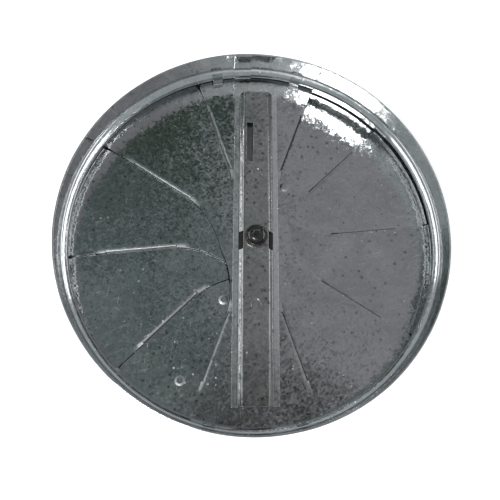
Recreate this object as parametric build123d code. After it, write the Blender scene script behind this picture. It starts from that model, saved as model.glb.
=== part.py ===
from build123d import *
import os
from math import asin, atan2, cos, degrees, radians, sin, sqrt

# A fan damper for the neck of a round air outlet. A rolled collar carries a bow-tie bridge plate,
# and four double blades turn behind it on one screw, fanned out here to close the neck.
# The front, which faces the room, is +Z. The back rim lies on Z = 0, centred on the origin.

# Collar, rolled from strip with its ends lapped
collar_diameter = 199.0
collar_height = 50.0
collar_sheet = 0.8
lap_start = 92.0
lap_angle = 5.5

# Bead pressed inwards round the collar, just in front of the plate
bead_radius = 3.0
bead_flank = 45.0
bead_lift = 3.4

# Bow-tie blanks of the plate and the blades
plate_face = 29.0
plate_sheet = 0.8
blade_sheet = 0.6
layer_gap = 1.0
blade_count = 4
blade_pitch = 38.2
wing_half_angle = 19.8
rim_gap = 2.2
hub_radius = 19.2
hub_blend_radius = 46.0
corner_radius = 2.0
taper_start = 80.0
taper_angle = 2.0

# Turned edges of the blanks: lips turned back, and hooks turned forward on the blades' trailing edges,
# staggered from layer to layer so that each hook meets a lip of the layer in front of it
bend_radius = 0.3
bend_relief = 0.4
lip_start = 42.0
lip_end = 78.0
lip_depth = 0.65
hook_places = (64.5, 72.5)
hook_length = 5.0
hook_height = 0.65
hook_gap = 0.2

# Tabs of the plate, clinched over the bead
tab_width = 5.5
tab_offset = 13.3
tab_tail = 1.2
tab_bend_radius = 0.8
seat_gap = 0.05

# Pressed pips on the drive blade
pip_radius = 2.6
pip_top_radius = 1.5
pip_height = 0.3
pip_places = (36.0, 82.0)

# Channel across the plate: a low hat section, its crown to the front and its flanges on the plate
channel_length = 172.0
channel_height = 3.6
channel_sheet = 0.8
channel_crown = 14.0
channel_foot = 17.4
channel_width = 24.0
channel_bend_radius = 0.6
window_length = 9.6
window_width = 2.4
window_centre = -1.8
slot_width = 3.4
slot_length = 23.6
slot_side = -3.4
slot_centre = 54.8
mark_radius = 2.5
mark_depth = 0.15
mark_place = 36.0

# Pivot screw and the rings on it
shoulder_diameter = 6.0
thread_diameter = 5.0
running_clearance = 0.05
head_diameter = 10.6
head_height = 3.2
head_edge = 1.0
head_crown = 6.0
head_bulge = 0.3
socket_width = 4.0
socket_depth = 1.9
tail_length = 1.4
tail_chamfer = 0.6
front_washer_diameter = 12.6
front_washer_thickness = 1.0
spring_washer_diameter = 10.4
spring_washer_thickness = 1.2
spring_split = 1.2
spring_split_slant = 25.0
spacer_diameter = 12.0
rear_washer_diameter = 10.0
rear_washer_thickness = 1.0
nut_width = 8.0
nut_hex_height = 3.6
nut_collar_diameter = 7.2
nut_height = 5.0
nut_chamfer = 0.5

# Worked out from the sizes above
wall_radius = collar_diameter / 2 - collar_sheet
bead_height = plate_face + bead_lift
blank_radius = wall_radius - rim_gap
layer_pitch = blade_sheet + layer_gap
plate_back = plate_face - plate_sheet
tab_seat = bead_radius + seat_gap
tab_root = wall_radius - tab_seat - plate_sheet - tab_bend_radius
shoulder_hole = shoulder_diameter / 2 + running_clearance
thread_hole = thread_diameter / 2 + running_clearance
channel_top = plate_face + channel_height
spring_seat = channel_top + front_washer_thickness
head_seat = spring_seat + spring_washer_thickness


def blade_face(layer):
    """Height of the front face of one blade; layer 1 lies next to the plate."""
    return plate_back - layer_gap - (layer - 1) * layer_pitch


clamp_face = blade_face(blade_count)
rear_face = clamp_face - blade_sheet
nut_face = rear_face - rear_washer_thickness
nut_back = nut_face - nut_height


def polar(radius, angle):
    return Vector(radius * cos(radians(angle)), radius * sin(radians(angle)))


def ring(outer, inner, bottom, top):
    """A flat ring round the axis between two heights."""
    band = Pos((outer + inner) / 2, (bottom + top) / 2) * Rectangle(outer - inner, top - bottom)
    return revolve(Plane.XZ * band, Axis.Z)


def strip_section(inset):
    """Section of the collar's strip, set in from the wall by inset: a round bead on straight flanks."""
    slope = radians(bead_flank)

    def side(offset):
        out = offset - inset
        nose = bead_radius - out
        wall = wall_radius + out
        half = nose * sin(slope) + (out + nose * cos(slope)) * cos(slope) / sin(slope)
        belly = CenterArc((wall_radius, bead_height), nose, 180 + bead_flank, -2 * bead_flank)
        low = (wall, bead_height - half)
        high = (wall, bead_height + half)
        lines = [Line((wall, 0), low), Line(low, belly @ 0), Line(belly @ 1, high)]
        return [belly, *lines, Line(high, (wall, collar_height))]

    face = wall_radius - inset
    rims = [Line((face, z), (face + collar_sheet, z)) for z in (0, collar_height)]
    return Plane.XZ * make_face(Curve() + side(0) + side(collar_sheet) + rims)


def collar():
    """Rolled strip; at the lap its inner end lies on the outer one, one sheet further in."""
    hoop = revolve(strip_section(0), Axis.Z)
    lap = revolve(strip_section(collar_sheet), Axis.Z, revolution_arc=lap_angle)
    return hoop + Rot(Z=lap_start) * lap


def blank_outline(taper):
    """Bow-tie along Y: two wings with radial edges that blend into a round hub. Their trailing edges
    turn in by the taper angle towards the rim, which leaves a narrow slit open there."""
    root = sqrt(hub_radius**2 + 2 * hub_radius * hub_blend_radius)
    swing = degrees(atan2(hub_blend_radius, root))

    def blend(edge, side):
        centre = polar(hub_radius + hub_blend_radius, edge + side * swing)
        start = polar(root, edge)
        end = polar(hub_radius, edge + side * swing)
        middle = centre + ((start - centre) + (end - centre)).normalized() * hub_blend_radius
        return ThreePointArc(start, middle, end)

    outline = []
    for wing in (90, 270):
        low = wing - wing_half_angle
        high = wing + wing_half_angle
        outline.append(Line(polar(root, low), polar(taper_start, low)))
        outline.append(Line(polar(taper_start, low), polar(blank_radius, low + taper)))
        outline.append(CenterArc((0, 0), blank_radius, low + taper, 2 * wing_half_angle - taper))
        outline.append(Line(polar(blank_radius, high), polar(root, high)))
        outline.append(blend(high, 1))
        outline.append(blend(low, -1))
        outline.append(CenterArc((0, 0), hub_radius, high + swing, 180 - 2 * (wing_half_angle + swing)))
    face = make_face(Curve() + outline)
    corners = [v for v in face.vertices() if Vector(v).length > blank_radius - corner_radius]
    return fillet(corners, corner_radius)


def edge_plane(edge, side, radius):
    """Plane across a wing's edge: local x runs into the wing, local y is up."""
    inward = Vector(side * sin(radians(edge)), -side * cos(radians(edge)))
    return Plane(origin=polar(radius, edge), x_dir=inward, z_dir=inward.cross(Vector(0, 0, 1)))


def folded_edge(sheet, height, up):
    """Section of an edge bent square, from the flat of the blank to the lip's end; y = 0 is the front."""
    outer = bend_radius + sheet
    inside = CenterArc((outer, bend_radius), bend_radius, 270, -90)
    outside = CenterArc((outer, bend_radius), outer, 180, 90)
    lines = [
        Line(inside @ 1, (sheet, height)),
        Line((sheet, height), (0, height)),
        Line((0, height), outside @ 0),
        Line(outside @ 1, inside @ 0),
    ]
    section = make_face(Curve() + [inside, outside] + lines)
    return section if up else Pos(0, -sheet) * mirror(section, Plane.XZ)


def turn_edge(blank, sheet, edge, side, span, height, up):
    """Bend a stretch of one wing edge up or down, with a relief cut at both ends."""
    start, end = span
    plane = edge_plane(edge, side, (start + end) / 2)
    bend = bend_radius + sheet
    notch = Pos(bend / 2, -sheet / 2) * Rectangle(bend, 2 * sheet)
    half = (end - start) / 2
    blank -= extrude(plane * notch, half + bend_relief, both=True)
    return blank + extrude(plane * folded_edge(sheet, height, up), half, both=True)


def lip_spans(hook):
    """Stretches of a lip along a wing's edge, broken where the hook stands."""
    if hook is None:
        return [(lip_start, lip_end)]
    pause = 2 * bend_relief + hook_gap
    return [(lip_start, hook[0] - pause), (hook[1] + pause, lip_end)]


def folded_blank(sheet, hook=None):
    """Flat blank, front face on Z = 0, with its lips and, on a blade, a hook on each trailing edge."""
    blank = extrude(blank_outline(taper_angle if hook else 0), -sheet)
    for wing in (90, 270):
        leading = wing + wing_half_angle
        trailing = wing - wing_half_angle
        for span in lip_spans(None):
            blank = turn_edge(blank, sheet, leading, 1, span, lip_depth, False)
        for span in lip_spans(hook):
            blank = turn_edge(blank, sheet, trailing, -1, span, lip_depth, False)
        if hook:
            blank = turn_edge(blank, sheet, trailing, -1, hook, hook_height, True)
    return blank


def bored(blank, radius, sheet):
    return blank - Cylinder(radius, 4 * sheet)


def bead_tab(angle):
    """Tab bent up from the plate's rim and clinched over the bead's nose and front flank."""
    bend_height = plate_face + tab_bend_radius
    tab_half_angle = degrees(asin(tab_width / 2 / tab_root))
    hug = CenterArc((wall_radius, bead_height), tab_seat, 180, -bead_flank)
    back = CenterArc((wall_radius, bead_height), tab_seat + plate_sheet, 180, -bead_flank)
    tail = Vector(sin(radians(bead_flank)), cos(radians(bead_flank))) * tab_tail
    inside = CenterArc((tab_root, bend_height), tab_bend_radius, 270, 90)
    outside = CenterArc((tab_root, bend_height), tab_bend_radius + plate_sheet, 270, 90)
    lines = [
        Line(hug @ 1, hug @ 1 + tail),
        Line(hug @ 1 + tail, back @ 1 + tail),
        Line(back @ 1 + tail, back @ 1),
        Line(back @ 0, inside @ 1),
        Line(inside @ 0, outside @ 0),
        Line(outside @ 1, hug @ 0),
    ]
    section = Plane.XZ * make_face(Curve() + [hug, back, inside, outside] + lines)
    strip = revolve(section, Axis.Z, revolution_arc=2 * tab_half_angle)
    return Rot(Z=angle - tab_half_angle) * strip


def tab_notch(angle):
    """Clearance cut in the plate's rim round the foot of a tab."""
    notch_half_angle = degrees(asin((tab_width / 2 + bend_relief) / tab_root))
    band = ring(blank_radius + rim_gap, tab_root, plate_back - plate_sheet, plate_face + plate_sheet)
    reach = 2 * blank_radius
    wedge = Polyline((0, 0), polar(reach, -notch_half_angle), polar(reach, notch_half_angle), close=True)
    cut = extrude(Plane.XY.offset(plate_back - plate_sheet) * make_face(wedge), 3 * plate_sheet)
    return Rot(Z=angle) * (band & cut)


def bridge_plate():
    plate = Pos(Z=plate_face) * bored(folded_blank(plate_sheet), shoulder_hole, plate_sheet)
    for wing in (90, 270):
        for side in (-1, 1):
            plate -= tab_notch(wing + side * tab_offset)
            plate += bead_tab(wing + side * tab_offset)
    return plate


def blade(layer):
    hole = thread_hole if layer == blade_count else shoulder_hole
    place = hook_places[layer % len(hook_places)]
    hook = (place - hook_length / 2, place + hook_length / 2)
    part = bored(folded_blank(blade_sheet, hook), hole, blade_sheet)
    if layer == blade_count:
        part = with_pips(part)
    return Pos(Z=blade_face(layer)) * Rot(Z=layer * blade_pitch) * part


def with_pips(part):
    """Round pips pressed forward on the middle line of both wings, hollow behind."""
    pip = Cone(pip_radius, pip_top_radius, pip_height, align=(Align.CENTER, Align.CENTER, Align.MIN))
    for place in pip_places:
        for side in (-1, 1):
            part += Pos(0, side * place, 0) * pip
            part -= Pos(0, side * place, -blade_sheet) * pip
    return part


def channel_section():
    """Hat section, flanges on y = 0: flange, sloping wall, crown and back, bends rounded on both sides."""
    slope = (channel_foot - channel_crown) / 2 / (channel_height - channel_sheet)
    thickness = channel_sheet * sqrt(1 + slope**2)

    def wall(y):
        return channel_crown / 2 + (channel_height - y) * slope

    under = channel_height - channel_sheet
    front = [(channel_width / 2, channel_sheet), (wall(channel_sheet), channel_sheet)]
    front.append((wall(channel_height), channel_height))
    back = [(wall(under) - thickness, under), (wall(0) - thickness, 0), (channel_width / 2, 0)]
    front_left = [(-x, y) for x, y in reversed(front)]
    back_left = [(-x, y) for x, y in reversed(back)]
    section = make_face(Polyline(*front, *front_left, *back_left, *back, close=True))
    tight = [front[1], front_left[1], back[0], back_left[2]]
    wide = [front[2], front_left[0], back[1], back_left[1]]
    for points, radius in ((tight, channel_bend_radius), (wide, channel_bend_radius + channel_sheet)):
        corners = section.vertices()
        section = fillet([corners.sort_by_distance(Vector(*point))[0] for point in points], radius)
    return section


def bridge_channel():
    """Hat bar with a slot and two pressed marks in its crown, and a window through each wall."""
    bar = extrude(Plane.XZ * channel_section(), channel_length / 2, both=True)
    window = Box(window_width, window_length, 4 * channel_height)
    mark = Cylinder(mark_radius, 2 * mark_depth)
    for side in (-1, 1):
        bar -= Pos(side * (channel_crown + channel_foot) / 4, window_centre) * window
        bar -= Pos(0, side * mark_place, channel_height) * mark
    bar -= Pos(Z=channel_height) * Cylinder(shoulder_hole, 4 * channel_sheet)
    bar -= Pos(slot_side, slot_centre, channel_height) * Box(slot_width, slot_length, 4 * channel_sheet)
    return Pos(Z=plate_face) * bar


def pivot_screw():
    """Shoulder screw: domed head with a hex socket, plain shoulder, thread for the nut."""
    head = head_diameter / 2
    shoulder = shoulder_diameter / 2
    thread = thread_diameter / 2
    crown = head_seat + head_height
    tail = nut_back - tail_length
    dome = SagittaArc((head, head_seat + head_edge), (head_crown / 2, crown), -head_bulge)
    outline = Curve() + [
        Line((0, tail), (thread - tail_chamfer, tail)),
        Line((thread - tail_chamfer, tail), (thread, tail + tail_chamfer)),
        Line((thread, tail + tail_chamfer), (thread, clamp_face)),
        Line((thread, clamp_face), (shoulder, clamp_face)),
        Line((shoulder, clamp_face), (shoulder, head_seat)),
        Line((shoulder, head_seat), (head, head_seat)),
        Line((head, head_seat), dome @ 0),
        dome,
        Line(dome @ 1, (0, crown)),
        Line((0, crown), (0, tail)),
    ]
    body = revolve(Plane.XZ * make_face(outline), Axis.Z)
    key = Plane.XY.offset(crown - socket_depth) * RegularPolygon(socket_width / 2, 6, major_radius=False)
    return body - extrude(key, 2 * socket_depth)


def front_washer():
    return ring(front_washer_diameter / 2, shoulder_hole, channel_top, spring_seat)


def spring_washer():
    """Split ring, flattened by the screw, with a slanted cut."""
    body = ring(spring_washer_diameter / 2, shoulder_hole, spring_seat, head_seat)
    cut = Rot(Y=spring_split_slant) * Box(spring_split, spring_washer_diameter, 4 * spring_washer_thickness)
    middle = (spring_seat + head_seat) / 2
    return body - Pos(0, -spring_washer_diameter / 2, middle) * cut


def spacer_washer(layer):
    top = blade_face(layer) + layer_gap
    return ring(spacer_diameter / 2, shoulder_hole, blade_face(layer), top)


def rear_washer():
    return ring(rear_washer_diameter / 2, thread_hole, nut_face, rear_face)


def lock_nut():
    """Hex nut with a round locking collar at its far end."""
    hexagon = Plane.XY.offset(nut_face) * RegularPolygon(nut_width / 2, 6, major_radius=False)
    body = extrude(hexagon, -nut_hex_height)
    corner = nut_width / 2 / cos(radians(30))
    turned = Pos(Z=nut_face - nut_hex_height / 2) * Cylinder(corner, nut_hex_height)
    body &= chamfer(turned.edges().group_by(Axis.Z)[0], nut_chamfer)
    collar_top = nut_face - nut_hex_height
    body += ring(nut_collar_diameter / 2, thread_hole, nut_back, collar_top)
    bore = Pos(Z=nut_face - nut_height / 2) * Cylinder(thread_hole, 2 * nut_height)
    return body - bore


def pieces():
    yield "collar", collar()
    yield "bridge_plate", bridge_plate()
    yield "bridge_channel", bridge_channel()
    for layer in range(1, blade_count + 1):
        yield f"blade_{layer}", blade(layer)
        yield f"spacer_washer_{layer}", spacer_washer(layer)
    yield "pivot_screw", pivot_screw()
    yield "front_washer", front_washer()
    yield "spring_washer", spring_washer()
    yield "rear_washer", rear_washer()
    yield "lock_nut", lock_nut()


os.makedirs("parts", exist_ok=True)
for name, solid in pieces():
    export_step(solid, f"parts/{name}.step")
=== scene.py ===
import math

import bpy
import numpy as np
from mathutils import Euler, Matrix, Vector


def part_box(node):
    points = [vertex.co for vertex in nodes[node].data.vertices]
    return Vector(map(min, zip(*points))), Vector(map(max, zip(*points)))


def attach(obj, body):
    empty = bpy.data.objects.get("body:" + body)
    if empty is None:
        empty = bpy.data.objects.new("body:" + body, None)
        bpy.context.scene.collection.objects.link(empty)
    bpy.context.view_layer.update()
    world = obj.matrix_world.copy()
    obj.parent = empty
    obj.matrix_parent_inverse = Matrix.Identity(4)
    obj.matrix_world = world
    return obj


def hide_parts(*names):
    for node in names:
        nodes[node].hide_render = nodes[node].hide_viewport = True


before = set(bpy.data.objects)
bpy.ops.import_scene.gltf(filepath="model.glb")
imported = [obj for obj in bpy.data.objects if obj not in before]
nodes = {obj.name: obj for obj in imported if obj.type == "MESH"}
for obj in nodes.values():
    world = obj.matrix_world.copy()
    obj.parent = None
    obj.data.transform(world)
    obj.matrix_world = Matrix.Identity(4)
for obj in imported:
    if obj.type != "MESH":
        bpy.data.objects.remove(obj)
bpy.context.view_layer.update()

# Collar: a galvanised steel strip, roll-formed with an inward bead and bent to a hoop.
# Its ends overlap by a few degrees at the top, where the inner end lies on the outer one.
MM = 0.001
strip_sheet = 0.8 * MM
bead_nose = 3.0 * MM
bead_root = 0.9 * MM
bead_flank = math.radians(45)
flank_bow = math.radians(7)
flank_in, flank_up = 1.423 * MM, 3.043 * MM
flank_round = 7.5 * MM
bead_level = 32.4 * MM
cut_edge = 0.2 * MM
lap_from, lap_to = math.radians(92.0), math.radians(97.5)
hoop_waves = ((0.05 * MM, 3, 0.7), (0.035 * MM, 7, 2.1), (0.02 * MM, 17, 4.0))
ripple, ripple_count, ripple_phase, ripple_turns = 0.012 * MM, 31, 1.3, 9
hoop_steps = 540
lap_steps = 12
corner_steps = 9
collar_low, collar_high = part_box("collar")
wall = collar_high.x - strip_sheet


def rounded_outline(corners, radii, steps):
    """Closed outline through the corners, each replaced by an arc of its radius that is tangent to both
    sides. Returns the points and the unit tangents, both in the corners' order."""
    ahead = np.roll(corners, -1, 0) - corners
    ahead /= np.linalg.norm(ahead, axis=1, keepdims=True)
    behind = np.roll(ahead, 1, 0)
    turn = np.arctan2(behind[:, 0] * ahead[:, 1] - behind[:, 1] * ahead[:, 0], (behind * ahead).sum(1))
    side = np.sign(turn)[:, None] * np.stack([-behind[:, 1], behind[:, 0]], 1)
    start = corners - behind * (radii * np.tan(np.abs(turn) / 2))[:, None]
    centre = start + side * radii[:, None]
    swept = np.abs(turn)[:, None] * np.linspace(0, 1, steps)
    along, across = np.sin(swept)[..., None], np.cos(swept)[..., None]
    points = centre[:, None] + radii[:, None, None] * (along * behind[:, None] - across * side[:, None])
    tangents = across * behind[:, None] + along * side[:, None]
    return points.reshape(-1, 2), tangents.reshape(-1, 2)


def strip_outline(inset):
    """Section of the strip in radius and height, set in from the wall: two parallel faces, each a wall, a
    bowed flank, the bead's nose, a bowed flank and a wall, joined by the cut rims. A flank bends in its
    middle, flank_in from the wall and flank_up from the bead's level, where its slope is bead_flank."""
    def face(out, root, bow, nose):
        shift = out * math.sin(bead_flank) / math.cos(flank_bow)
        bend, up = wall - flank_in + shift, flank_up - shift
        foot = up + (wall + out - bend) / math.tan(bead_flank + flank_bow)
        tip = bend - up * math.tan(bead_flank - flank_bow)
        radii = [wall + out, wall + out, bend, tip, bend, wall + out, wall + out]
        heights = [0, *(bead_level + rise for rise in (-foot, -up, 0, up, foot)), collar_high.z]
        return np.stack([radii, heights], 1), np.array([cut_edge, root, bow, nose, bow, root, cut_edge])

    nose = bead_nose + inset
    inner, inner_radii = face(-inset, bead_root + strip_sheet, flank_round, nose)
    outer, outer_radii = face(strip_sheet - inset, bead_root, flank_round - strip_sheet, nose - strip_sheet)
    return np.vstack([outer, inner[::-1]]), np.concatenate([outer_radii, inner_radii[::-1]])


def hoop_place(outline, angle):
    """Turns points of the section round the axis. A hand-fed roller leaves the radius about a tenth of a
    millimetre small and out of true, as slow waves round the hoop and a ripple that changes over its
    height. A wave has a size, a number round the hoop and a phase."""
    radius, height = outline[..., 0], outline[..., 1]
    wave = sum(size * (np.sin(count * angle + phase) - 1) for size, count, phase in hoop_waves)
    level = np.cos(height / collar_high.z * ripple_turns)
    wave = wave + ripple * (np.sin(ripple_count * angle + ripple_phase) * level - 1)
    radius = radius + wave
    return np.stack([radius * np.cos(angle), radius * np.sin(angle), height + 0 * angle], -1)


def grid_mesh(name, points, normals, close_u, close_v):
    """A grid of points as quads with given normals, closed along either direction. A grid that is open
    along the first one only gets flat ends."""
    rows, columns = points.shape[:2]
    u = np.arange(rows if close_u else rows - 1)[:, None]
    v = np.arange(columns if close_v else columns - 1)[None]
    u1, v1 = (u + 1) % rows, (v + 1) % columns
    quads = np.stack([u * columns + v, u1 * columns + v, u1 * columns + v1, u * columns + v1], -1)
    faces = quads.reshape(-1, 4).tolist()
    points, normals = points.reshape(-1, 3), normals.reshape(-1, 3)
    if close_v and not close_u:
        ring, count = np.arange(columns), rows * columns
        ends = np.stack([ring, ring + count - columns])
        outward = points[ends] - points[ends + [[columns], [-columns]]]
        outward /= np.linalg.norm(outward, axis=-1, keepdims=True)
        faces += [(count + ring).tolist(), (count + columns + ring[::-1]).tolist()]
        points = np.vstack([points, points[ends].reshape(-1, 3)])
        normals = np.vstack([normals, outward.reshape(-1, 3)])
    mesh = bpy.data.meshes.new(name)
    mesh.from_pydata(points, [], faces)
    mesh.polygons.foreach_set("use_smooth", np.ones(len(mesh.polygons), bool))
    mesh.normals_split_custom_set_from_vertices(normals)
    piece = bpy.data.objects.new(name, mesh)
    bpy.context.scene.collection.objects.link(piece)
    return piece


def swept_strip(name, inset, angles, whole):
    """The strip's section carried round the axis over the angles. Normals are the cross product of the
    surface's steps along the section and round the axis."""
    points, tangents = rounded_outline(*strip_outline(inset), corner_steps)
    section, angle = points[None], angles[:, None]
    step = 1e-6
    place = hoop_place(section, angle)
    along = hoop_place(section + step * tangents[None], angle) - place
    around = hoop_place(section, angle + step) - place
    normals = np.cross(around, along)
    normals /= np.linalg.norm(normals, axis=-1, keepdims=True)
    return grid_mesh(name, place, normals, whole, True)


hoop = swept_strip("collar_hoop", 0, np.linspace(0, 2 * np.pi, hoop_steps, endpoint=False), True)
lap = swept_strip("collar_lap", strip_sheet, np.linspace(lap_from, lap_to, lap_steps), False)
for piece in (hoop, lap):
    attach(piece, "frame")
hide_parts("collar")


def new_group(name, inputs, outputs):
    """Empty shader node group with float or vector inputs, each with a default, and named outputs."""
    group = bpy.data.node_groups.new(name, "ShaderNodeTree")
    for label, value in inputs.items():
        kind = "NodeSocketVector" if isinstance(value, tuple) else "NodeSocketFloat"
        group.interface.new_socket(label, in_out="INPUT", socket_type=kind).default_value = value
    for label, kind in outputs.items():
        group.interface.new_socket(label, in_out="OUTPUT", socket_type=kind)
    return group, group.nodes.new("NodeGroupInput").outputs, group.nodes.new("NodeGroupOutput").inputs


def node(tree, kind, inputs, **settings):
    """Adds a shader node; inputs are values or sockets by name or place, settings its properties."""
    made = tree.nodes.new("ShaderNode" + kind)
    for key, value in settings.items():
        setattr(made, key, value)
    for key, value in inputs.items():
        if isinstance(value, bpy.types.NodeSocket):
            tree.links.new(value, made.inputs[key])
        else:
            made.inputs[key].default_value = value
    return made


def math_node(tree, operation, a, b=0.0, c=0.0, clamp=False):
    """One Math node on up to three values or sockets."""
    made = node(tree, "Math", {0: a, 1: b, 2: c}, operation=operation, use_clamp=clamp)
    return made.outputs[0]


def ramp(tree, value, low, high):
    """Rises smoothly from 0 at low to 1 at high."""
    inputs = {"Value": value, "From Min": low, "From Max": high}
    return node(tree, "MapRange", inputs, interpolation_type="SMOOTHSTEP").outputs[0]


def noise(tree, place, scale, detail=2.0, roughness=0.5, distortion=0.0):
    """Noise about 0.5 at a place, finer for a larger scale."""
    inputs = {"Vector": place, "Scale": scale, "Detail": detail, "Roughness": roughness,
              "Distortion": distortion}
    return node(tree, "TexNoise", inputs).outputs["Fac"]


def mix_colour(tree, factor, low, high):
    """Goes from the low to the high one, each a colour or a socket, as the factor goes from 0 to 1."""
    low, high = ((*end, 1) if isinstance(end, tuple) else end for end in (low, high))
    return node(tree, "Mix", {"Factor": factor, 6: low, 7: high}, data_type="RGBA").outputs[2]


# Zinc skin: what hot-dip galvanising leaves on sheet steel, and what use adds to it.
# Spangle crystals of a millimetre or so, slow clouds, dark specks, dust and handling scratches.
patch_scale, grain_scale, cloud_scale = 330.0, 1300.0, 38.0
speck_scale, dust_scale = 300.0, 520.0
dust_share = 0.03
scratch_size = (11 * MM, 0.6 * MM, 20 * MM)
scratch_lies = ((0.4, 0.0), (1.5, 3.1), (2.6, 7.7), (3.4, 5.2))
group, given, out = new_group(
    "zinc_skin",
    {"Place": (0.0, 0.0, 0.0), "Spangle": 900.0, "Specks": 0.5, "Scratches": 0.5},
    {"Cloud": "NodeSocketFloat", "Crystal": "NodeSocketFloat", "Tilt": "NodeSocketVector",
     "Speck": "NodeSocketFloat", "Scratch": "NodeSocketFloat", "Dust": "NodeSocketFloat"},
)
place = given["Place"]
cells = node(group, "TexVoronoi", {"Vector": place, "Scale": given["Spangle"]}).outputs["Color"]
patches = node(group, "TexNoise", {"Vector": place, "Scale": patch_scale, "Detail": 4.0, "Roughness": 0.6})
lean = mix_colour(group, 0.7, cells, patches.outputs["Color"])
lean = node(group, "VectorMath", {0: lean, 1: (0.5, 0.5, 0.5)}, operation="SUBTRACT").outputs[0]
group.links.new(lean, out["Tilt"])
crystal = node(group, "SeparateColor", {"Color": cells}).outputs[0]
grain = noise(group, place, grain_scale, 4.0, 0.7)
group.links.new(math_node(group, "ADD", math_node(group, "MULTIPLY", crystal, 0.4),
                          math_node(group, "MULTIPLY", grain, 0.6)), out["Crystal"])
group.links.new(noise(group, place, cloud_scale, 5.0, 0.65, 0.5), out["Cloud"])
dots = node(group, "TexVoronoi", {"Vector": place, "Scale": speck_scale})
chosen = node(group, "SeparateColor", {"Color": dots.outputs["Color"]})
rare = math_node(group, "MULTIPLY", given["Specks"], 0.5)
rare = math_node(group, "GREATER_THAN", rare, chosen.outputs[1])
ragged = math_node(group, "MULTIPLY_ADD", grain, 0.35, dots.outputs["Distance"])
size = math_node(group, "MULTIPLY_ADD", chosen.outputs[2], 0.3, 0.32)
dot = math_node(group, "SUBTRACT", 1.0, ramp(group, ragged, 0.22, size))
group.links.new(math_node(group, "MULTIPLY", dot, rare), out["Speck"])
grit = node(group, "TexVoronoi", {"Vector": place, "Scale": dust_scale})
few = node(group, "SeparateColor", {"Color": grit.outputs["Color"]}).outputs[0]
few = math_node(group, "GREATER_THAN", dust_share, few)
grit = math_node(group, "SUBTRACT", 1.0, ramp(group, grit.outputs["Distance"], 0.1, 0.42))
group.links.new(math_node(group, "MULTIPLY", grit, few), out["Dust"])
marks = 0.0
for turn, seed in scratch_lies:
    lie = node(group, "Mapping", {"Vector": place, "Location": (seed, seed, 0), "Rotation": (0, 0, turn),
                                  "Scale": scratch_size}, vector_type="TEXTURE").outputs[0]
    line = ramp(group, noise(group, lie, 1.0, 2.0, 0.6), 0.63, 0.70)
    here = ramp(group, noise(group, lie, 0.4, 1.0), 0.48, 0.6)
    marks = math_node(group, "MULTIPLY_ADD", line, here, marks)
group.links.new(math_node(group, "MULTIPLY", marks, given["Scratches"], clamp=True), out["Scratch"])
zinc_skin = group

dust_white = (0.80, 0.84, 0.84)
speck_black = (0.07, 0.065, 0.06)
# Painted shade: near black on folds facing away from the lit side and on the plate under the channel.
# Painted light: pale grey on folds facing the lit side.
painted_shade_black = (0.06, 0.06, 0.06)
painted_light_grey = (0.24, 0.26, 0.26)
edge_round = 0.3 * MM


def zinc_material(name, dark, light, roughness, skin, lean, form=None):
    """Galvanised steel: the zinc skin drives colour between dark and light, roughness and crystal tilt. Skin
    holds its offset, spangle, specks and scratches. The form is a node group: its height in metres bends the
    normals as the sheet is bent there, and its masks paint shade on the folds and covered strips, paint
    light on the folds that face the lit side, and dull them."""
    material = bpy.data.materials.new(name)
    material.use_nodes = True
    tree = material.node_tree
    shader = tree.nodes["Principled BSDF"]
    shader.inputs["Metallic"].default_value = 1.0
    place = node(tree, "TexCoord", {}).outputs["Object"]
    offset, spangle, specks, scratches = skin
    moved = node(tree, "Mapping", {"Vector": place, "Location": (offset, -offset, 0)}).outputs[0]
    inputs = {"Place": moved, "Spangle": spangle, "Specks": specks, "Scratches": scratches}
    skin_out = node(tree, "Group", inputs, node_tree=zinc_skin).outputs
    tone = math_node(tree, "ADD", math_node(tree, "MULTIPLY", skin_out["Cloud"], 0.7),
                     math_node(tree, "MULTIPLY", skin_out["Crystal"], 0.3))
    colour = mix_colour(tree, ramp(tree, tone, 0.36, 0.64), dark, light)
    bright = math_node(tree, "MULTIPLY_ADD", skin_out["Scratch"], 0.5, skin_out["Dust"], clamp=True)
    colour = mix_colour(tree, math_node(tree, "MULTIPLY", bright, 0.6), colour, dust_white)
    colour = mix_colour(tree, math_node(tree, "MULTIPLY", skin_out["Speck"], 0.7), colour, speck_black)
    spread = math_node(tree, "MULTIPLY_ADD", skin_out["Crystal"], 0.2, roughness - 0.1)
    spread = math_node(tree, "MULTIPLY_ADD", bright, 0.25, spread)
    if not form:
        normal = node(tree, "Bevel", {"Radius": edge_round}, samples=8).outputs[0]
    else:
        bent = node(tree, "Group", {"Place": place}, node_tree=form)
        normal = node(tree, "Bump", {"Height": bent.outputs["Height"], "Distance": 1.0}).outputs[0]
        # Painted shade on folds facing away from the lit side and under the channel, then painted light on
        # folds facing it.
        colour = mix_colour(tree, bent.outputs["PaintedShade"], colour, painted_shade_black)
        colour = mix_colour(tree, bent.outputs["PaintedLight"], colour, painted_light_grey)
        spread = math_node(tree, "MULTIPLY_ADD", bent.outputs["Dull"], 0.35, spread)
    tree.links.new(colour, shader.inputs["Base Color"])
    tree.links.new(spread, shader.inputs["Roughness"])
    tilt = node(tree, "VectorMath", {0: skin_out["Tilt"], 3: lean}, operation="SCALE").outputs[0]
    normal = node(tree, "VectorMath", {0: normal, 1: tilt}, operation="ADD").outputs[0]
    normal = node(tree, "VectorMath", {0: normal}, operation="NORMALIZE").outputs[0]
    tree.links.new(normal, shader.inputs["Normal"])
    return material


collar_zinc = zinc_material("collar_zinc", (0.60, 0.61, 0.62), (0.74, 0.75, 0.76), 0.12,
                            (0.3, 700.0, 0.1, 0.4), 0.06)
for piece in (hoop, lap):
    piece.data.materials.append(collar_zinc)


def dress(name, material):
    """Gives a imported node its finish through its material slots."""
    piece = nodes[name]
    if not piece.material_slots:
        piece.data.materials.append(material)
    for slot in piece.material_slots:
        slot.material = material


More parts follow.
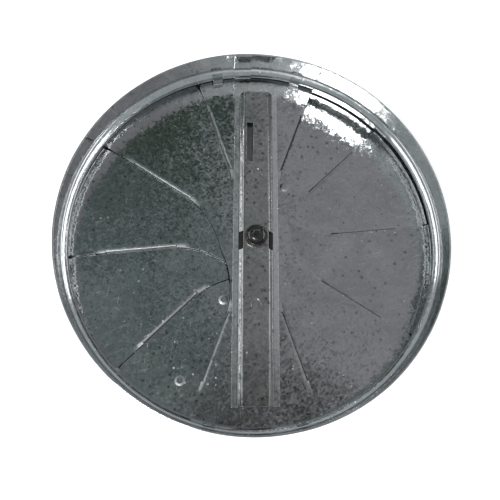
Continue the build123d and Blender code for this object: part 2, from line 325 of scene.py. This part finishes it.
# Bridge plate: a bow-tie blank of galvanised sheet with lips turned back along its edges.
# Four tabs of its rim are bent up and clinched over the collar's bead, which holds the whole mechanism.
wing_half_angle = math.radians(19.8)
curl_width = 2.8 * MM
curl_slope = 0.145
# Folds that face this side, towards the key lamp, are painted light; the other folds are painted shade.
lit_side = (-0.5, -0.87, 0.0)
lip_from, lip_to = 40 * MM, 80 * MM
lip_fade_in, lip_fade_out = 8 * MM, 6 * MM
buckle_scale, buckle_height = 17.0, 1.3 * MM
thin_from, thin_to, thinned = 20 * MM, 30 * MM, 0.43
tab_clear = 0.2 * MM
plate_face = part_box("bridge_channel")[0].z


def sheet_form(name, turn, seed, covered=(0.0, 0.0)):
    """Height of a bow-tie sheet in metres. It falls off as a parabola towards the wings' straight edges,
    where the sheet begins to turn into its lip, and rises and falls in slow buckles. Its masks after the
    height are painted shade, on the folds that face away from the lit side and on the strip of the given
    half sizes that the channel covers, less of it far from the screw; painted light on the folds that face
    the lit side;
    and a dulling mask for all of these with the turned edges."""
    group, given, out = new_group(name, {"Place": (0.0, 0.0, 0.0)}, {
        label: "NodeSocketFloat" for label in ("Height", "PaintedShade", "PaintedLight", "Dull")})
    own = node(group, "Mapping", {"Vector": given["Place"], "Rotation": (0, 0, -turn)}).outputs[0]
    x, y, z = node(group, "SeparateXYZ", {0: own}).outputs[:3]
    along = math_node(group, "MULTIPLY", math_node(group, "ABSOLUTE", y), math.sin(wing_half_angle))
    across = math_node(group, "MULTIPLY", math_node(group, "ABSOLUTE", x), math.cos(wing_half_angle))
    inside = math_node(group, "SUBTRACT", along, across)
    near = math_node(group, "MAXIMUM", math_node(group, "SUBTRACT", curl_width, inside), 0.0)
    fall = math_node(group, "POWER", near, 2.0)
    fall = math_node(group, "MULTIPLY", fall, -curl_slope / (2 * curl_width))
    radius = node(group, "VectorMath", {0: node(group, "CombineXYZ", {0: x, 1: y}).outputs[0]},
                  operation="LENGTH").outputs["Value"]
    beyond = ramp(group, radius, lip_to, lip_to + lip_fade_out)
    reach = math_node(group, "MULTIPLY", ramp(group, radius, lip_from - lip_fade_in, lip_from),
                      math_node(group, "SUBTRACT", 1.0, beyond))
    shifted = node(group, "Mapping", {"Vector": given["Place"], "Location": (seed, seed, 0)}).outputs[0]
    buckle = noise(group, shifted, buckle_scale, 2.0, 0.45)
    buckle = math_node(group, "MULTIPLY", buckle, buckle_height)
    height = math_node(group, "MULTIPLY_ADD", fall, reach, buckle)
    group.links.new(height, out["Height"])
    facing = node(group, "NewGeometry", {}).outputs["True Normal"]
    level = math_node(group, "ABSOLUTE", node(group, "SeparateXYZ", {0: facing}).outputs[2])
    below = math_node(group, "LESS_THAN", z, plate_face + tab_clear)
    turned = math_node(group, "SUBTRACT", 1.0, ramp(group, level, 0.98, 0.998))
    dull = math_node(group, "MULTIPLY", below, turned)
    steep = math_node(group, "SUBTRACT", 1.0, ramp(group, level, 0.9, 0.975))
    fold_shade = math_node(group, "MULTIPLY", below, steep)
    # Painted shade on the plate's strip under the channel, less of it far from the screw.
    wide, long = (math_node(group, "ABSOLUTE", distance) for distance in (x, y))
    shaded_strip = math_node(group, "MULTIPLY", math_node(group, "LESS_THAN", wide, covered[0]),
                      math_node(group, "LESS_THAN", long, covered[1]))
    thin = math_node(group, "MULTIPLY_ADD", ramp(group, long, thin_from, thin_to), -thinned, 1.0)
    shaded_strip = math_node(group, "MULTIPLY", shaded_strip, thin)
    # Painted light on the folds facing the lit side; the rest of the folds keep painted shade.
    fold_light = node(group, "VectorMath", {0: facing, 1: lit_side}, operation="DOT_PRODUCT").outputs["Value"]
    fold_light = math_node(group, "MULTIPLY", fold_shade, ramp(group, fold_light, -0.02, 0.06))
    group.links.new(fold_light, out["PaintedLight"])
    fold_shade = math_node(group, "MULTIPLY", math_node(group, "SUBTRACT", fold_shade, fold_light), 0.85)
    group.links.new(math_node(group, "MAXIMUM", fold_shade, shaded_strip), out["PaintedShade"])
    curl = math_node(group, "MULTIPLY", ramp(group, near, 0.0, curl_width), reach)
    dull = math_node(group, "MAXIMUM", math_node(group, "MAXIMUM", dull, shaded_strip), curl)
    group.links.new(dull, out["Dull"])
    return group


sheet_dark, sheet_light, sheet_lean = (0.375, 0.39, 0.39), (0.485, 0.495, 0.495), 0.21
# The plate is painted in shade where the channel's crown covers it, so the channel's windows and slot look
# dark.
under_channel = (9.4 * MM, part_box("bridge_channel")[1].y - 8 * MM)
plate_zinc = zinc_material("plate_zinc", sheet_dark, sheet_light, 0.12, (0.11, 950.0, 0.35, 0.7), sheet_lean,
                           sheet_form("plate_form", 0.0, 0.4, under_channel))
dress("bridge_plate", plate_zinc)

# Bridge channel: a low hat section folded from galvanised strip, spot-welded along the plate to stiffen it.
# Its crown is stained, its flanges carry a painted sheen of the light on their rounded feet, and its ends
# are turned down to the plate.
flange_from, flange_fade = 9.0 * MM, 0.6 * MM
flange_painted_sheen = (0.70, 0.71, 0.71)
end_half, end_sheet, end_rise = 7.6 * MM, 0.6 * MM, 3.0 * MM
end_inset = 0.02 * MM
sheet_edge, sheet_edge_steps = 0.1 * MM, 4
channel_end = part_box("bridge_channel")[1].y
channel_zinc = zinc_material("channel_zinc", (0.36, 0.365, 0.36), (0.48, 0.48, 0.47), 0.13,
                             (0.47, 850.0, 1.2, 0.3), 0.1)
tree = channel_zinc.node_tree
shader = tree.nodes["Principled BSDF"]
across = node(tree, "SeparateXYZ", {0: node(tree, "TexCoord", {}).outputs["Object"]}).outputs[0]
# The flanges are painted lighter: a painted sheen standing in for the light their rounded feet reflect.
sheen_band = ramp(tree, math_node(tree, "ABSOLUTE", across), flange_from, flange_from + flange_fade)
stained = shader.inputs["Base Color"].links[0].from_socket
tree.links.new(mix_colour(tree, sheen_band, stained, flange_painted_sheen), shader.inputs["Base Color"])
dress("bridge_channel", channel_zinc)


def turned_end(number, side):
    """End of the channel, at either side of the screw: the sheet's section in length and height, a rounded
    rectangle, carried straight across the crown's width."""
    low, top = plate_face, plate_face + end_rise
    near, far = side * (channel_end - end_sheet), side * (channel_end - end_inset)
    corners = np.array([(near, low), (far, low), (far, top), (near, top)])
    points, tangents = rounded_outline(corners, np.full(4, sheet_edge), sheet_edge_steps)
    width = (np.linspace(end_half, -end_half, 5) * side)[:, None]
    place = np.stack(np.broadcast_arrays(width, points[:, 0], points[:, 1]), -1)
    normals = np.stack(np.broadcast_arrays(0 * width, side * tangents[:, 1], -side * tangents[:, 0]), -1)
    return grid_mesh(f"channel_end_{number}", place, normals, False, True)


for number, side in enumerate((1, -1), 1):
    piece = turned_end(number, side)
    piece.data.materials.append(channel_zinc)
    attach(piece, "frame")

# Blades: bow-tie blanks of thinner galvanised sheet, stacked behind the plate on one screw.
# They slide under each other, so they are scratched and stained; their rims run close to the collar's wall.
blade_pitch = math.radians(38.2)
blade_sheet = 0.6 * MM
layer_pitch = 1.6 * MM
first_depth, rim_drop = 1.8 * MM, 0.02 * MM
first_layer = plate_face - first_depth - rim_drop
rim_from, rim_to = 96.2 * MM, 97.6 * MM
rim_taper = math.radians(2.0)
rim_steps = 40
blade_bodies = ("fan_blade_1", "fan_blade_2", "fan_blade_3", "drive")


def wing_rim(number, wing):
    """Margin of one wing: the sheet's section in radius and height, a rounded rectangle, carried round the
    axis along the rim."""
    top = first_layer - layer_pitch * (number - 1)
    low = top - blade_sheet
    corners = np.array([(rim_from, low), (rim_to, low), (rim_to, top), (rim_from, top)])
    points, tangents = rounded_outline(corners, np.full(4, sheet_edge), sheet_edge_steps)
    middle = math.pi * (0.5 + wing) + blade_pitch * number
    first, last = middle - wing_half_angle + rim_taper, middle + wing_half_angle
    angle = np.linspace(first, last, rim_steps)[:, None]

    def turned(outward, upward):
        return np.stack([outward * np.cos(angle), outward * np.sin(angle), upward + 0 * angle], -1)

    return grid_mesh(f"blade_{number}_rim_{wing + 1}", turned(points[:, 0], points[:, 1]),
                     turned(tangents[:, 1], -tangents[:, 0]), False, True)


for number, body in enumerate(blade_bodies, 1):
    form = sheet_form(f"blade_{number}_form", blade_pitch * number, 0.7 * number)
    blade_zinc = zinc_material(f"blade_{number}_zinc", sheet_dark, sheet_light, 0.12,
                               (0.19 * number, 1000.0, 0.8, 1.0), sheet_lean, form)
    dress(f"blade_{number}", blade_zinc)
    for wing in range(2):
        piece = wing_rim(number, wing)
        piece.data.materials.append(blade_zinc)
        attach(piece, body)


# Pivot screw, its flat washer and the split spring washer: turned and pressed steel, blackened and oiled.
# The head presses the spring washer towards the channel, and the shoulder runs through plate and blades.
metal_grain = 900.0
grain_depth = 0.03 * MM
worn_radius = 0.25 * MM


def plain_metal(name, dark, light, worn, roughness):
    """Turned or pressed steel: fine grain between two tones, a small change of roughness with it, and edges
    worn bright, where the rounded normal differs from the surface's own."""
    material = bpy.data.materials.new(name)
    material.use_nodes = True
    tree = material.node_tree
    shader = tree.nodes["Principled BSDF"]
    shader.inputs["Metallic"].default_value = 1.0
    place = node(tree, "TexCoord", {}).outputs["Object"]
    grain = noise(tree, place, metal_grain, 4.0, 0.6)
    colour = mix_colour(tree, ramp(tree, grain, 0.35, 0.65), dark, light)
    tree.links.new(math_node(tree, "MULTIPLY_ADD", grain, 0.2, roughness - 0.1), shader.inputs["Roughness"])
    edge = node(tree, "Bevel", {"Radius": worn_radius}, samples=8).outputs[0]
    own = node(tree, "NewGeometry", {}).outputs["True Normal"]
    same = node(tree, "VectorMath", {0: edge, 1: own}, operation="DOT_PRODUCT").outputs["Value"]
    wear = math_node(tree, "SUBTRACT", 1.0, ramp(tree, same, 0.85, 0.99))
    tree.links.new(mix_colour(tree, wear, colour, worn), shader.inputs["Base Color"])
    bump = node(tree, "Bump", {"Height": grain, "Strength": 0.1, "Distance": grain_depth, "Normal": edge})
    tree.links.new(bump.outputs[0], shader.inputs["Normal"])
    return material


black_oxide = plain_metal("black_oxide", (0.06, 0.06, 0.06), (0.10, 0.097, 0.094), (0.5, 0.49, 0.47), 0.14)
worn_oxide = plain_metal("worn_oxide", (0.10, 0.095, 0.09), (0.24, 0.23, 0.22), (0.3, 0.29, 0.28), 0.35)
dress("pivot_screw", black_oxide)
dress("spring_washer", black_oxide)
dress("front_washer", worn_oxide)

# Spacers between the blades, rear washer and lock nut: zinc-plated steel, bright and slightly blue.
# The nut clamps the rear washer and the last blade to the end of the screw's shoulder.
zinc_plate = plain_metal("zinc_plate", (0.50, 0.51, 0.53), (0.62, 0.63, 0.65), (0.7, 0.71, 0.72), 0.25)
for name in [f"spacer_washer_{number}" for number in range(1, 5)] + ["rear_washer", "lock_nut"]:
    dress(name, zinc_plate)

# Stage: a plain white floor that keeps a soft shadow, a studio sky and three soft lamps.
# The floor glows for the camera, less so in reflections, and not inside the collar.
floor_half = 4.0
floor_white = (0.85, 0.85, 0.85, 1)
floor_glow, mirrored_glow = 0.5, 0.4
glow_margin = 4 * MM
corners = np.array([(-1, -1), (1, -1), (1, 1), (-1, 1)]) * floor_half
floor_mesh = bpy.data.meshes.new("floor")
floor_mesh.from_pydata([(x, y, collar_low.z) for x, y in corners], [], [(0, 1, 2, 3)])
floor = bpy.data.objects.new("floor", floor_mesh)
bpy.context.scene.collection.objects.link(floor)
paper = bpy.data.materials.new("floor_paper")
paper.use_nodes = True
tree = paper.node_tree
shader = tree.nodes["Principled BSDF"]
shader.inputs["Base Color"].default_value = floor_white
shader.inputs["Roughness"].default_value = 0.9
shader.inputs["Specular IOR Level"].default_value = 0.0
rays = node(tree, "LightPath", {}).outputs
seen = math_node(tree, "MULTIPLY_ADD", rays["Is Glossy Ray"], mirrored_glow, rays["Is Camera Ray"])
spot = node(tree, "TexCoord", {}).outputs["Object"]
outside = node(tree, "VectorMath", {0: spot}, operation="LENGTH").outputs["Value"]
outside = ramp(tree, outside, collar_high.x - glow_margin, collar_high.x)
shader.inputs["Emission Color"].default_value = (1, 1, 1, 1)
glow = math_node(tree, "MULTIPLY", math_node(tree, "MULTIPLY", seen, outside), floor_glow)
tree.links.new(glow, shader.inputs["Emission Strength"])
floor_mesh.materials.append(paper)

# Sky: a room that is dim and uneven overhead on the left and lighter on the right, as the zinc mirrors it.
# It has a glow round the key lamp, a glow on the left and two dark spots, one of them near the camera.
shade_dark, shade_light, shade_scale = (0.06, 0.10, 0.10), (0.28, 0.32, 0.32), 12.0
overhead_right = (0.38, 0.375, 0.395)
side_back, side_front = (0.36, 0.39, 0.40), (0.34, 0.38, 0.39)
key_centre, key_colour = (-0.12, -0.5, 0.858), (0.85, 0.88, 0.88)
left_colour = (0.62, 0.67, 0.67)
dark_spots = (((-0.13, 0.46, 0.878), 0.23, (0.055, 0.08, 0.06)),
              ((0.07, -0.09, 0.993), 0.27, (0.07, 0.07, 0.07)))
world = bpy.data.worlds.new("studio_sky")
world.use_nodes = True
bpy.context.scene.world = world
tree = world.node_tree
sky = tree.nodes["Background"]
direction = node(tree, "TexCoord", {}).outputs["Generated"]
x, y, z = node(tree, "SeparateXYZ", {0: direction}).outputs[:3]
right = ramp(tree, x, -0.06, 0.15)
front = math_node(tree, "SUBTRACT", 1.0, ramp(tree, y, -0.7, 0.5))
low = math_node(tree, "SUBTRACT", 1.0, ramp(tree, z, 0.35, 0.9))
uneven = ramp(tree, noise(tree, direction, shade_scale, 3.0, 0.6), 0.38, 0.62)
shade = mix_colour(tree, uneven, shade_dark, shade_light)
overhead = mix_colour(tree, right, shade, overhead_right)
side = mix_colour(tree, front, side_back, side_front)
colour = mix_colour(tree, low, overhead, side)


def away_from(place):
    """Distance of the sky's direction from a place on its unit sphere."""
    return node(tree, "VectorMath", {0: direction, 1: place}, operation="DISTANCE").outputs["Value"]


glow = math_node(tree, "SUBTRACT", 1.0, ramp(tree, away_from(key_centre), 0.2, 0.62))
colour = mix_colour(tree, glow, colour, key_colour)
glow = math_node(tree, "MULTIPLY", math_node(tree, "SUBTRACT", 1.0, ramp(tree, x, -0.46, -0.24)),
                 ramp(tree, z, 0.55, 0.8))
colour = mix_colour(tree, glow, colour, left_colour)
for place, radius, dark in dark_spots:
    colour = mix_colour(tree, ramp(tree, away_from(place), 0.04, radius), dark, colour)
tree.links.new(colour, sky.inputs["Color"])


def softbox(name, azimuth, elevation, distance, width, height, radiance):
    """Area lamp that faces the object from a direction; its power follows from the radiance and area."""
    lamp = bpy.data.lights.new(name, "AREA")
    lamp.shape = "RECTANGLE"
    lamp.size, lamp.size_y = width, height
    lamp.energy = radiance * math.pi * width * height
    piece = bpy.data.objects.new(name, lamp)
    az, el = math.radians(azimuth), math.radians(elevation)
    away = np.array([math.cos(az) * math.cos(el), math.sin(az) * math.cos(el), math.sin(el)])
    piece.location = away * distance
    piece.rotation_euler = Euler((math.pi / 2 - el, 0, az + math.pi / 2))
    piece.visible_camera = False
    bpy.context.scene.collection.objects.link(piece)


softbox("key_softbox", 232, 60, 1.2, 0.36, 0.3, 20.0)
softbox("left_softbox", 177, 19, 1.5, 1.6, 0.34, 2.4)
softbox("right_softbox", 8, 16, 1.5, 1.5, 0.38, 2.4)

# Camera: held above the front, a little below the middle, as in the photograph.
# Its lens, place and turns were fitted to the rims, the channel and the screw.
image_width = 500
focal_pixels = 595.0
principal = (282.3, 223.8)
sensor = 36.0
camera_place = (-0.01976, -0.08935, 0.33289)
camera_turns = (-6.41, 17.71, -0.75)
camera = bpy.data.cameras.new("camera")
camera.sensor_width = sensor
camera.lens = focal_pixels / image_width * sensor
camera.shift_x = (image_width / 2 - principal[0]) / image_width
camera.shift_y = (principal[1] - image_width / 2) / image_width
viewer = bpy.data.objects.new("camera", camera)
yaw, pitch, roll = (math.radians(degrees) for degrees in camera_turns)
turned = Matrix.Rotation(yaw, 4, "Y") @ Matrix.Rotation(pitch, 4, "X") @ Matrix.Rotation(roll, 4, "Z")
viewer.matrix_world = Matrix.Translation(camera_place) @ turned
bpy.context.scene.collection.objects.link(viewer)
bpy.context.scene.camera = viewer
bpy.context.scene.view_settings.view_transform = "Standard"
